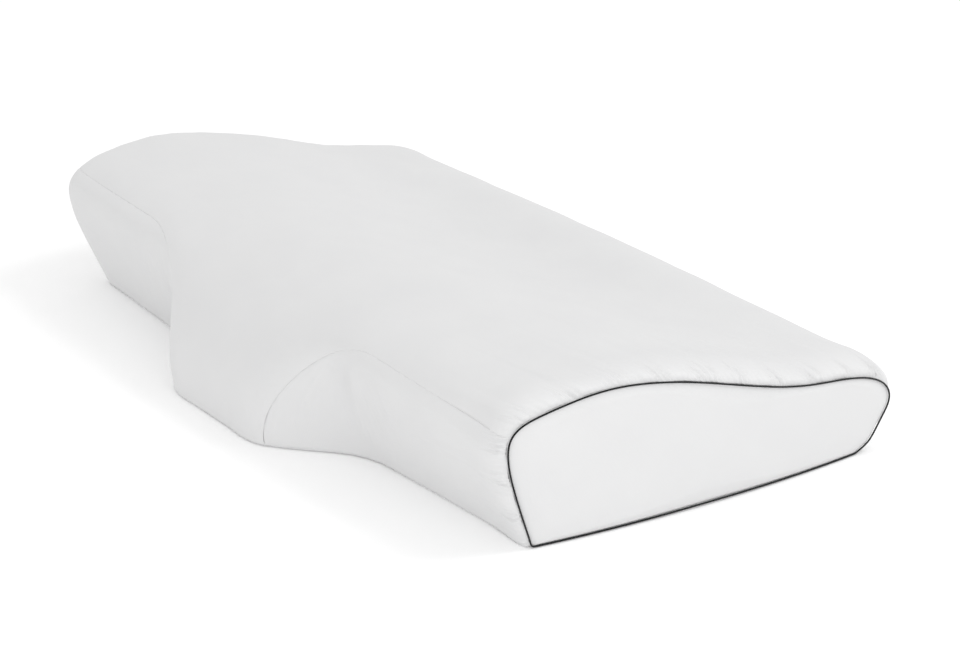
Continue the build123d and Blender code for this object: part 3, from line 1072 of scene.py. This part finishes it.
@dataclass
class Stitching:
    """Lines of stitches that hold the zip's tapes to the panels, as separate short stitches."""

    cover: Cover
    stitch: float = 2.6 * MM
    pitch: float = 3.4 * MM
    thread: float = 0.22 * MM

    def build(self) -> None:
        """Build the stitch lines."""
        for name, sign in (("upper", 1.0), ("lower", -1.0)):
            self.beside_zip(name, sign)

    def beside_zip(self, name: str, sign: float) -> None:
        """Stitches along one edge of the zip.

        Args:
            name: The edge's name.
            sign: 1 above the zip and -1 below it.
        """
        reach = self.cover.zip_half
        up = sign * (self.cover.slot_half + 2.2 * MM)
        x = np.linspace(-reach, reach, 300)
        form = self.cover.form
        line = np.array([form.wall_place(float(v), up, 0.2 * MM) for v in x])
        out = np.array(form.wall_place(0.0, 0.0, 1.0) - form.wall_place(0.0, 0.0, 0.0))
        self._row(f"zip_stitching_{name}", line, np.broadcast_to(out, line.shape))

    def _row(self, name: str, line: Array, out: Array) -> None:
        """Lay stitches along a line.

        Args:
            name: Piece name.
            line: Points on the cloth.
            out: Outward direction at each.
        """
        run = run_along(line)
        starts = np.arange(self.pitch, run[-1] - self.pitch, self.pitch)
        segments, ring = 6, 6
        quads = grid_faces(segments, ring, closed_rows=True)
        share = np.linspace(0.0, 1.0, segments)
        points: list[Array] = []
        faces: list[tuple[int, ...]] = []
        for start in starts:
            place = start + share * self.stitch
            middle = np.stack([np.interp(place, run, line[:, k]) for k in range(3)], axis=1)
            lift = np.stack([np.interp(place, run, out[:, k]) for k in range(3)], axis=1)
            across = unit(np.cross(unit(np.gradient(middle, axis=0)), lift))
            arch = np.sin(math.pi * share)[:, None]
            middle = middle + lift * (arch - 0.6) * self.thread * 1.2
            fat = self.thread * (0.55 + 0.45 * arch)
            first = len(points) * segments * ring
            points.append(rings_round(middle, across, lift, fat[:, None], ring))
            faces.extend(tuple(first + i for i in quad) for quad in quads)
            faces.append(tuple(first + c for c in reversed(range(ring))))
            faces.append(tuple(first + (segments - 1) * ring + c for c in range(ring)))
        piece = Piece(name, Body.PILLOW, THREAD, "cover_knit")
        flat = np.concatenate([p.reshape(-1, 3) for p in points])
        made = mesh_object(name, flat, faces, flat[:, [0, 2]])
        face_outward(made)
        made.data.shade_smooth()
        piece.dress(made)


# ---------------------------------------------------------------- inside


@dataclass
class Inside:
    """The foam core and the knitted liner that wraps it."""

    form: CoverForm
    liner_inset: float = 2.8 * MM
    foam_inset: float = 4.0 * MM
    zip_relief: float = 2.0 * MM

    def build(self) -> None:
        """Build the core and the liner."""
        foam = Piece("foam_core_block", Body.PILLOW, Foam(), "memory_foam", ("foam_core",))
        block = foam.dress(self.closed_form(foam, self.foam_inset))
        liner = Piece("liner_sleeve", Body.PILLOW, LINER_TRICOT, "liner_knit", ("liner_upper", "liner_lower"))
        sleeve = self.closed_form(liner, self.liner_inset)
        thicken(sleeve, 0.8 * MM)
        liner.dress(sleeve)

    def closed_form(self, piece: Piece, inset: float) -> bpy.types.Object:
        """The pillow's whole form, inset, with a floor and rounded ends.

        Args:
            piece: Whose name it takes.
            inset: Distance inside the cover.

        Returns:
            The new object.
        """
        u = np.concatenate([[-1.0, -0.995], np.linspace(-0.985, 0.985, 110), [0.995, 1.0]])
        t = np.linspace(0.0, 1.0, 130)
        uu, tt = np.meshgrid(u, t, indexing="ij")
        upper = self.form.at(uu, tt)
        normal = normals_of(upper)
        wall = self.form.wall_place(0.0, 0.0, 0.0)
        near_zip = bell(np.hypot(upper[..., 1] - wall.y, upper[..., 2] - wall.z), 6.0 * MM)
        upper = upper + normal * (inset + self.zip_relief * near_zip)[..., None]
        upper[..., 2] = np.maximum(upper[..., 2], inset)
        limit = self.form.end_x(upper[..., 1], upper[..., 2]) - inset - 1.0 * MM
        upper[..., 0] = np.clip(upper[..., 0], -limit, limit)
        share = np.linspace(0.0, 1.0, 60)[1:-1][None, :, None]
        floor = upper[:, -1:, :] * (1.0 - share) + upper[:, :1, :] * share
        floor[..., 2] = inset
        loops = np.concatenate([upper, floor], axis=1)
        caps = []
        for end in (0, -1):
            hub = loops[end].mean(axis=0)
            shrink = np.linspace(0.0, 1.0, 12)[:-1][:, None, None]
            cap = hub[None, None] + (loops[end][None] - hub) * shrink
            side = -1.0 if end == 0 else 1.0
            cap[..., 0] = side * (self.form.end_x(cap[..., 1], cap[..., 2]) - inset - 1.0 * MM)
            cap[..., 0] += 1.15 * self.form.drawn_in(cap[..., 0], cap[..., 1], cap[..., 2])
            caps.append(cap if end == 0 else cap[::-1])
        points = np.concatenate([caps[0], loops, caps[1]])
        uv = points[..., :2].copy()
        return piece.from_grid(points, uv, closed=True)


# ---------------------------------------------------------------- zip


@dataclass
class Zip:
    """The zip along the back wall: tapes, coils, stops, slider and pull."""

    form: CoverForm
    half: float = 229.0 * MM
    gap: float = 0.5 * MM
    tape_w: float = 8.0 * MM
    tape_t: float = 0.55 * MM
    tape_out: float = -1.3 * MM
    coil_pitch: float = 1.35 * MM
    coil_w: float = 1.95 * MM
    coil_wire: float = 0.27 * MM
    wire_sides: int = 5

    def build(self) -> None:
        """Build every part of the zip."""
        for name, sign in (("upper", 1.0), ("lower", -1.0)):
            self.tape(name, sign)
            self.coil(name, sign)
        self.stops()
        self.slider()
        self.pull()

    def place(self, points: Array) -> Array:
        """Turn points given along, up and out of the wall into the frame."""
        start = np.array(self.form.wall_place(0.0, 0.0, 0.0))
        up = np.array(self.form.wall_place(0.0, 1.0, 0.0)) - start
        out = np.array(self.form.wall_place(0.0, 0.0, 1.0)) - start
        along = np.array([1.0, 0.0, 0.0])
        return start + points[..., :1] * along + points[..., 1:2] * up + points[..., 2:] * out

    def matrix(self, x: float) -> Matrix:
        """The wall's axes at a place along it: X back along the zip, Y up the wall, Z out of it."""
        start = self.form.wall_place(x, 0.0, 0.0)
        up = self.form.wall_place(x, 1.0, 0.0) - start
        out = self.form.wall_place(x, 0.0, 1.0) - start
        columns = Matrix((Vector((-1.0, 0.0, 0.0)), up, out)).transposed()
        return Matrix.Translation(start) @ columns.to_4x4()

    def tape(self, name: str, sign: float) -> None:
        """One woven tape with a corded inner edge and a faint ripple.

        Args:
            name: The tape's name.
            sign: 1 for the upper and -1 for the lower.
        """
        x = np.linspace(-self.half - 1.0 * MM, self.half + 1.0 * MM, 420)
        across = np.linspace(self.gap, self.gap + self.tape_w, 14)
        xx, aa = np.meshgrid(x, across)
        ripple = 0.08 * MM * unevenness(xx, 13.0 * MM, 101) * ramp(aa, 2.0 * MM, 7.0 * MM)
        bead = 0.12 * MM * bell(aa - 3.2 * MM, 0.5 * MM)
        points = self.place(np.stack([xx, sign * aa, self.tape_out + ripple + bead], axis=-1))
        piece = Piece(f"zip_tape_{name}_weave", Body.PILLOW, TAPE_WEAVE, "zip_tape", (f"zip_tape_{name}",))
        made = piece.from_grid(points, np.stack([xx, aa], axis=-1))
        thicken(made, self.tape_t)
        piece.dress(made)

    def coil(self, name: str, sign: float) -> None:
        """One row of coil: a flattened helix whose heads meet the other row's.

        Args:
            name: The row's name.
            sign: 1 for the upper and -1 for the lower.
        """
        turns = int(2.0 * self.half / self.coil_pitch)
        per_turn = 8
        angle = np.arange(turns * per_turn) * (2.0 * math.pi / per_turn)
        shift = 0.25 if sign > 0 else 0.75
        x = -self.half + (angle / (2.0 * math.pi) + shift) * self.coil_pitch
        high = 0.42 * MM
        middle = self.gap + self.coil_w / 2.0 - 0.55 * MM
        up = sign * (middle - self.coil_w / 2.0 * np.cos(angle))
        out = self.tape_out + 0.75 * MM + high * np.sin(angle)
        path = self.place(np.stack([x, up, out], axis=-1))
        across, lift = square_to(np.gradient(path, axis=0))
        rings = rings_round(path, across, lift, self.coil_wire, self.wire_sides)
        uv = np.broadcast_to(angle[:, None, None] * MM, (*rings.shape[:2], 2))
        piece = Piece(f"zip_coil_{name}_turns", Body.PILLOW, COIL_NYLON, "zip_coil", (f"zip_coil_{name}",))
        made = piece.from_grid(rings, uv, closed=True)
        face_outward(made, cap=True)
        piece.dress(made)

    def block(self, size: Sequence[float], at: Sequence[float], corner: float, edge: float) -> bpy.types.Object:
        """A rounded plate: a cube with its upright corners rounded, then all its edges eased.

        Args:
            size: Lengths along, up and out of the wall.
            at: Its middle, in the same axes.
            corner: Radius of the four upright corners.
            edge: Radius of all edges.

        Returns:
            The new object, at the origin of the wall's axes.
        """
        bpy.ops.object.select_all(action="DESELECT")
        bpy.ops.mesh.primitive_cube_add(size=1.0, location=(0.0, 0.0, 0.0))
        made = bpy.context.active_object
        made.data.transform(Matrix.Translation(Vector(at)) @ Matrix.Diagonal((*size, 1.0)))
        bpy.ops.object.mode_set(mode="EDIT")
        bpy.ops.mesh.select_all(action="DESELECT")
        shape = bmesh.from_edit_mesh(made.data)
        for e in shape.edges:
            run = (e.verts[0].co - e.verts[1].co).normalized()
            e.select = abs(run.z) > 0.9
        bmesh.update_edit_mesh(made.data)
        if corner > 0.0:
            bpy.ops.mesh.bevel(offset=corner, segments=5, affect="EDGES")
        bpy.ops.object.mode_set(mode="OBJECT")
        active_only(made)
        ease = made.modifiers.new("ease", "BEVEL")
        ease.width = edge
        ease.segments = 2
        ease.limit_method = "ANGLE"
        bpy.ops.object.modifier_apply(modifier=ease.name)
        return made

    def join(self, parts: Sequence[bpy.types.Object], x: float, piece: Piece) -> bpy.types.Object:
        """Join parts made in the wall's axes and put them in place.

        Args:
            parts: The parts.
            x: Place along the zip.
            piece: Whose name, body and finish they take.

        Returns:
            The joined object.
        """
        bpy.ops.object.select_all(action="DESELECT")
        for part in parts:
            part.select_set(True)
        bpy.context.view_layer.objects.active = parts[0]
        if len(parts) > 1:
            bpy.ops.object.join()
        made = bpy.context.view_layer.objects.active
        made.name = piece.name
        made.data.name = piece.name
        made.data.transform(self.matrix(x))
        made.data.update()
        bpy.ops.object.shade_smooth_by_angle(angle=math.radians(40.0))
        return piece.dress(made)

    def stops(self) -> None:
        """Two clamps at the closed end and one across both coils at the open end."""
        low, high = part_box("zip_top_stops")
        x = (low.x + high.x) / 2.0
        parts = [
            self.block((2.2 * MM, 2.0 * MM, 1.5 * MM), (0.0, s * 1.5 * MM, 0.15 * MM), 0.4 * MM, 0.15 * MM)
            for s in (1.0, -1.0)
        ]
        self.join(parts, x, Piece("zip_top_clamps", Body.PILLOW, ZINC_LACQUER, "zip_metal", ("zip_top_stops",)))
        low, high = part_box("zip_bottom_stop")
        x = (low.x + high.x) / 2.0
        part = self.block((2.4 * MM, 4.9 * MM, 1.5 * MM), (0.0, 0.0, 0.15 * MM), 0.5 * MM, 0.2 * MM)
        self.join([part], x, Piece("zip_end_clamp", Body.PILLOW, ZINC_LACQUER, "zip_metal", ("zip_bottom_stop",)))

    def slider(self) -> None:
        """Two plates with turned-down sides, a post between the coils and an arched crown."""
        low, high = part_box("zip_slider")
        x = (low.x + high.x) / 2.0
        plate = 0.9 * MM
        top = self.block((9.0 * MM, 7.2 * MM, plate), (0.0, 0.0, 1.05 * MM), 2.0 * MM, 0.2 * MM)
        back = self.block((9.0 * MM, 7.2 * MM, plate), (0.0, 0.0, -2.35 * MM), 2.0 * MM, 0.2 * MM)
        post = self.block((2.6 * MM, 0.5 * MM, 3.2 * MM), (-3.0 * MM, 0.0, -0.7 * MM), 0.0, 0.1 * MM)
        parts = [top, back, post]
        for sign in (1.0, -1.0):
            parts.append(
                self.block((5.6 * MM, 0.8 * MM, 1.5 * MM), (0.0, sign * 3.2 * MM, 0.3 * MM), 0.0, 0.2 * MM)
            )
        parts.append(self.crown())
        self.join(parts, x, Piece("zip_slider_body", Body.SLIDER, ZINC_LACQUER, "zip_metal", ("zip_slider",)))

    def crown(self) -> bpy.types.Object:
        """The arch on the slider that holds the pull: half a torus, cut at the plate."""
        bpy.ops.object.select_all(action="DESELECT")
        bpy.ops.mesh.primitive_torus_add(
            major_radius=2.4 * MM, minor_radius=0.62 * MM, major_segments=32, minor_segments=10,
            rotation=(math.pi / 2.0, 0.0, 0.0),
        )
        made = bpy.context.active_object
        bpy.ops.object.transform_apply(location=False, rotation=True, scale=False)
        bpy.ops.object.mode_set(mode="EDIT")
        bpy.ops.mesh.select_all(action="SELECT")
        bpy.ops.mesh.bisect(plane_co=(0.0, 0.0, -0.2 * MM), plane_no=(0.0, 0.0, 1.0), clear_inner=True, use_fill=True)
        bpy.ops.object.mode_set(mode="OBJECT")
        made.data.transform(Matrix.Translation(Vector((0.0, 0.0, 1.4 * MM))))
        return made

    def pull(self) -> None:
        """A pin under the crown, two arms and a rounded tab with a hole."""
        low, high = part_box("zip_slider")
        x = (low.x + high.x) / 2.0
        level = 2.35 * MM
        arms = [
            self.block((4.9 * MM, 1.0 * MM, 0.9 * MM), (2.1 * MM, s * 1.85 * MM, level), 0.3 * MM, 0.15 * MM)
            for s in (1.0, -1.0)
        ]
        bpy.ops.object.select_all(action="DESELECT")
        bpy.ops.mesh.primitive_cylinder_add(
            vertices=20, radius=0.45 * MM, depth=4.4 * MM, location=(0.0, 0.0, level),
            rotation=(math.pi / 2.0, 0.0, 0.0),
        )
        pin = bpy.context.active_object
        bpy.ops.object.transform_apply(location=True, rotation=True, scale=False)
        tab = self.block((10.6 * MM, 5.8 * MM, 0.9 * MM), (9.6 * MM, 0.0, level), 1.8 * MM, 0.15 * MM)
        bpy.ops.object.select_all(action="DESELECT")
        bpy.ops.mesh.primitive_cylinder_add(
            vertices=28, radius=1.3 * MM, depth=4.0 * MM, location=(12.0 * MM, 0.0, level)
        )
        punch = bpy.context.active_object
        active_only(tab)
        hole = tab.modifiers.new("hole", "BOOLEAN")
        hole.operation = "DIFFERENCE"
        hole.object = punch
        bpy.ops.object.modifier_apply(modifier=hole.name)
        bpy.data.objects.remove(punch)
        self.join([tab, pin, *arms], x, Piece("zip_pull", Body.PULL, ZINC_LACQUER, "zip_metal", ("zip_pull_tab",)))


# ---------------------------------------------------------------- studio


@dataclass
class Studio:
    """A white floor, soft light and the camera."""

    aim: tuple[float, float, float] = (-0.0374, 0.0690, 0.0018)
    azimuth: float = 56.58
    elevation: float = 20.62
    distance: float = 2.0685
    lens: float = 104.0

    def build(self) -> None:
        """Build floor, lights and camera."""
        self.floor()
        self.world()
        self.light("key", 50.0, 11.5, 2.2, 0.8)
        self.light("fill", -20.0, 3.5, 0.4, 0.7)
        self.camera()
        bpy.context.scene.view_settings.view_transform = "Standard"

    def floor(self) -> None:
        """A large matt white sweep."""
        bpy.ops.object.select_all(action="DESELECT")
        bpy.ops.mesh.primitive_plane_add(size=14.0)
        made = bpy.context.active_object
        made.name = "studio_floor"
        material = bpy.data.materials.new("matt_white_paper")
        material.use_nodes = True
        shader = material.node_tree.nodes["Principled BSDF"]
        shader.inputs["Base Color"].default_value = linear("FBFBFB")
        shader.inputs["Roughness"].default_value = 1.0
        shader.inputs["Specular IOR Level"].default_value = 0.0
        shader.inputs["Emission Color"].default_value = linear("FFFFFF")
        shader.inputs["Emission Strength"].default_value = 0.07
        made.data.materials.append(material)

    def world(self) -> None:
        """An even white surround."""
        world = bpy.data.worlds.new("white_surround")
        bpy.context.scene.world = world
        world.use_nodes = True
        background = world.node_tree.nodes["Background"]
        background.inputs["Color"].default_value = (1.0, 1.0, 1.0, 1.0)
        background.inputs["Strength"].default_value = 0.92

    def light(self, name: str, azimuth: float, power: float, height: float, size: float) -> None:
        """A large soft light, turned to the pillow.

        Args:
            name: Its name.
            azimuth: Direction from the pillow, anticlockwise from +X, in degrees.
            power: In watts.
            height: Above the floor.
            size: Of its square.
        """
        data = bpy.data.lights.new(name, "AREA")
        data.energy = power
        data.size = size
        made = bpy.data.objects.new(name, data)
        bpy.context.scene.collection.objects.link(made)
        turn = math.radians(azimuth)
        made.location = Vector((1.6 * math.cos(turn), 1.6 * math.sin(turn), height))
        made.rotation_mode = "QUATERNION"
        made.rotation_quaternion = made.location.to_track_quat("Z", "Y")

    def camera(self) -> None:
        """A long lens from the front right, a little above."""
        data = bpy.data.cameras.new("camera")
        data.lens = self.lens
        data.sensor_width = 36.0
        made = bpy.data.objects.new("camera", data)
        bpy.context.scene.collection.objects.link(made)
        a, e = math.radians(self.azimuth), math.radians(self.elevation)
        back = Vector((math.sin(a) * math.cos(e), -math.cos(a) * math.cos(e), math.sin(e)))
        made.location = Vector(self.aim) + back * self.distance
        made.rotation_mode = "QUATERNION"
        made.rotation_quaternion = back.to_track_quat("Z", "Y")
        bpy.context.scene.camera = made


COVER_NODES = (
    "cover_top_panel",
    "cover_bottom_panel",
    "cover_back_strip",
    "cover_front_panel_left",
    "cover_front_panel_right",
)


def main() -> None:
    """Build the pillow on its frame, then the studio round it."""
    logging.basicConfig(level=logging.INFO, format="%(name)s %(message)s")
    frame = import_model()
    form = CoverForm()
    form.read([frame["nodes"][name] for name in COVER_NODES])
    seams = {
        Side.LEFT: FrontSeam(form, crown_z=94.0 * MM, tip_z=94.0 * MM),
        Side.RIGHT: FrontSeam(form),
    }
    for seam in seams.values():
        seam.trace()
    cover = Cover(form, seams)
    builders: list[Callable[[], None]] = [
        Inside(form).build,
        cover.build,
        Piping(cover).build,
        Stitching(cover).build,
        Zip(form).build,
        Studio().build,
    ]
    for build in builders:
        build()


if __name__ == "__main__":
    main()
